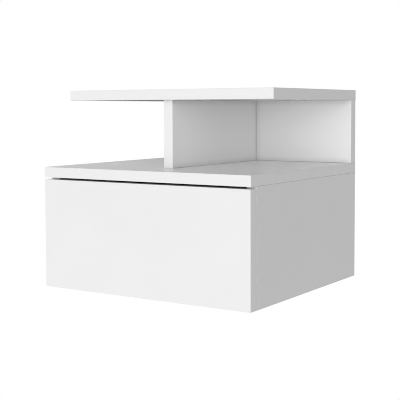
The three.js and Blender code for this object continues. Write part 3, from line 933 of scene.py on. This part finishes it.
def place_wheels():
    """Each wheel, and the domed head of the rivet that it turns on."""
    wheel = lathe("wheel", wheel_profile, WHEEL_SIDES, NYLON)
    rivet = lathe("rivet", dome(RIVET_RADIUS, RIVET_EDGE, RIVET_CROWN), SMALL_SIDES, PLATED_ZINC)
    for hand, side in HANDS.items():
        for end, member, outward in (("front", "cabinet", -side * X), ("rear", "drawer", side * X)):
            node = f"wheel_{end}_{hand}"
            middle = middle_of(node)
            stand_for(node, wheel, frame_of(middle, X, Z))
            at = middle + outward * (WHEEL_HALF + AXLE_PLAY)
            fit(f"rivet_{end}_{hand}", rivet, frame_of(at, outward, Z), member)


def runner_screw(head):
    socket = cross_cutters(*PHILLIPS)
    return screw_mesh(head, RUNNER_SCREW_SHANK, RUNNER_SCREW_LENGTH, RUNNER_SCREW_PITCH, socket)


def web_screw_at(hand, side, along):
    """Where a screw's head stands on the cabinet member, which is screwed through its web."""
    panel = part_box(f"side_panel_{hand}")
    inner_face = (panel[1] if side < 0 else panel[0]).x
    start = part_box(f"runner_cabinet_{hand}")[0].y
    axle = middle_of(f"wheel_front_{hand}").z
    return Vector((inner_face - side * (WEB_FACE + WEB_SCREW_PROUD), start + along, axle))


def flange_screw_at(hand, side, along):
    """Where a screw's head stands under the drawer member, which is screwed through its flange."""
    drawer_face = middle_of(f"drawer_side_{hand}").x + side * DRAWER_BOARD / 2
    start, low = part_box(f"runner_drawer_{hand}")[0].yz
    return Vector((drawer_face - side * FLANGE_MIDDLE, start + along, low - FLANGE_SCREW_HEAD[1]))


def place_runner_screws():
    web = runner_screw(sunk_head(*WEB_SCREW_HEAD))
    flange = runner_screw(pan_head(*FLANGE_SCREW_HEAD))
    for hand, side in HANDS.items():
        for hole in HOLES_USED:
            along = HOLE_FIRST + hole * HOLE_PITCH
            place = frame_of(web_screw_at(hand, side, along), side * X, Z)
            fit(f"screw_web_{hand}_{hole}", web, place, "cabinet")
            place = frame_of(flange_screw_at(hand, side, along), Z, Y)
            fit(f"screw_flange_{hand}_{hole}", flange, place, "drawer")


# Small milky bumpers on the side panels' front edges, just behind the closed drawer front

BUMPER_RADIUS = 0.004
BUMPER_EDGE = 0.0004
BUMPER_CROWN = 0.0009
BUMPER_INSET = 0.02


def place_bumpers():
    mesh = lathe("bumper", dome(BUMPER_RADIUS, BUMPER_EDGE, BUMPER_CROWN), SMALL_SIDES, SOFT_RUBBER)
    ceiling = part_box("cabinet_top")[0].z
    for hand in HANDS:
        panel = f"side_panel_{hand}"
        x = middle_of(panel).x
        front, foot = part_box(panel)[0].yz
        for end, z in (("high", ceiling - BUMPER_INSET), ("low", foot + BUMPER_INSET)):
            place = frame_of(Vector((x, front, z)), -Y, Z)
            fit(f"bumper_{hand}_{end}", mesh, place, "cabinet")


RUNNER_ROUND = 0.0002
BOLT_ROUND = 0.0001

for board_name, bands in BANDED.items():
    dress_board(board_name, bands)
dress_sheet("drawer_bottom")
for node_name in nodes:
    if node_name.startswith("runner_"):
        dress_metal(node_name, COATED_STEEL, RUNNER_ROUND)
    elif node_name.startswith("cam_bolt"):
        dress_metal(node_name, PLATED_ZINC, BOLT_ROUND)
place_cams()
place_cap()
place_board_screws()
place_hangers()
place_wheels()
place_runner_screws()
place_bumpers()


# Studio

def heading(azimuth, elevation):
    azimuth, elevation = math.radians(azimuth), math.radians(elevation)
    level = math.cos(elevation)
    return Vector((math.sin(azimuth) * level, -math.cos(azimuth) * level, math.sin(elevation)))


def make_camera():
    """The photograph's view. The picture is 400 pixels square, and the film is 36 mm wide."""
    azimuth = 32.961
    elevation = 3.419
    roll = math.radians(-0.199)
    distance = 1.4471
    target = Vector((-0.00951, -0.1356, 0.04366))
    picture = 400
    film = 36
    middle = Vector((207.698, 164.616))
    focal = 943.186
    back = heading(azimuth, elevation)
    right = (-back).cross(Z).normalized()
    upward = back.cross(right)
    rolled_right = right * math.cos(roll) + upward * math.sin(roll)
    rolled_up = upward * math.cos(roll) - right * math.sin(roll)
    data = bpy.data.cameras.new("camera")
    data.sensor_width = film
    data.lens = focal * film / picture
    data.shift_x = (picture / 2 - middle.x) / picture
    data.shift_y = (middle.y - picture / 2) / picture
    camera = bpy.data.objects.new("camera", data)
    scene.collection.objects.link(camera)
    turn = Matrix((rolled_right, rolled_up, back)).transposed()
    camera.matrix_world = Matrix.Translation(target + back * distance) @ turn.to_4x4()
    scene.camera = camera


# Soft light from all round: azimuth (0 in front, growing to the right), elevation, focus and strength.
# A focus of one is a glow over half the sky, and the higher ones are softboxes. A strength below zero is
# a dark flag: those stand low behind the object, and the shelf's underside reflects them. The sum is held
# at zero or more.
GLOWS = (
    (0, 90, 1, 0.1),
    (0, -90, 1, 0.2),
    (180, 0, 1, 0.1),
    (-90, 0, 1, 0.53),
    (90, 0, 1, 0.1),
    (0, 0, 1, 0.19),
    (180, 0, 4, 0.4),
    (0, 0, 8, 0.3),
    (30, 0, 8, 0.5),
    (60, 0, 8, 0.43),
    (0, 40, 8, 0.51),
    (45, 40, 8, 0.12),
    (15, 20, 20, 0.8),
    (45, 20, 20, 1.18),
    (-15, 0, 40, 1.89),
    (15, 0, 40, 1.64),
    (35, 0, 40, 2.5),
    (200, -12, 60, -0.8),
    (216, -12, 60, -0.8),
    (232, -12, 60, -0.8),
    (208, -28, 40, -0.6),
    (230, -28, 40, -0.6),
    (228, 12, 60, 0.48),
)


def make_sky():
    """A white backdrop for the camera, and the glows for the object."""
    world = bpy.data.worlds.new("studio")
    scene.world = world
    world.use_nodes = True
    tree = world.node_tree

    def node(kind, operation, *inputs):
        made = tree.nodes.new(kind)
        made.operation = operation
        for socket, value in zip(made.inputs, inputs):
            if isinstance(value, bpy.types.NodeSocket):
                tree.links.new(value, socket)
            else:
                socket.default_value = value
        return made.outputs["Value"]

    direction = tree.nodes.new("ShaderNodeTexCoord").outputs["Generated"]
    light = 0
    for azimuth, elevation, focus, strength in GLOWS:
        facing = node("ShaderNodeVectorMath", "DOT_PRODUCT", direction, heading(azimuth, elevation))
        glow = node("ShaderNodeMath", "POWER", node("ShaderNodeMath", "MAXIMUM", facing, 0), focus)
        light = node("ShaderNodeMath", "MULTIPLY_ADD", glow, strength, light)
    light = node("ShaderNodeMath", "MAXIMUM", light, 0)
    soft = tree.nodes["Background"]
    soft.inputs["Color"].default_value = WHITE
    tree.links.new(light, soft.inputs["Strength"])
    backdrop = tree.nodes.new("ShaderNodeBackground")
    backdrop.inputs["Color"].default_value = WHITE
    mix = tree.nodes.new("ShaderNodeMixShader")
    tree.links.new(tree.nodes.new("ShaderNodeLightPath").outputs["Is Camera Ray"], mix.inputs["Fac"])
    tree.links.new(soft.outputs["Background"], mix.inputs[1])
    tree.links.new(backdrop.outputs["Background"], mix.inputs[2])
    tree.links.new(mix.outputs["Shader"], tree.nodes["World Output"].inputs["Surface"])


# Width of the pixel filter, for edges as crisp as the photograph's
CRISP = 1

FLOOR_RADIUS = 0.7
FLOOR_SIDES = 128
FLOOR_PLACE = Vector((0, -0.15, -0.55))
FADE_START = 0.35
FLOOR_TONES = ((0.84, 0.84, 0.84), (0.87, 0.87, 0.87))
FLOOR_GRAIN = 3
FLOOR_ROUGHNESS = 0.8
FLOOR_GLOW = 0.2


def make_floor():
    """A pale round floor below the object, which fades out towards its rim."""
    work = bmesh.new()
    bmesh.ops.create_circle(work, cap_ends=True, radius=FLOOR_RADIUS, segments=FLOOR_SIDES)
    finish = Finish(
        "pale_floor",
        Roughness=FLOOR_ROUGHNESS,
        Emission_Color=WHITE,
        Emission_Strength=FLOOR_GLOW,
    )
    finish.join("Base Color", finish.ramp(finish.noise(FLOOR_GRAIN), FLOOR_TONES))
    source = finish.node("ShaderNodeTexCoord", {}).outputs["Object"]
    reach = finish.node("ShaderNodeVectorMath", {0: source}, operation="LENGTH").outputs["Value"]
    finish.join("Alpha", finish.spread(reach, 1, 0, FADE_START, FLOOR_RADIUS))
    floor = bpy.data.objects.new("floor", finish_mesh(work, "floor", finish.material))
    scene.collection.objects.link(floor)
    floor.location = FLOOR_PLACE


make_camera()
make_sky()
make_floor()
scene.view_settings.view_transform = "Standard"
scene.cycles.filter_width = CRISP
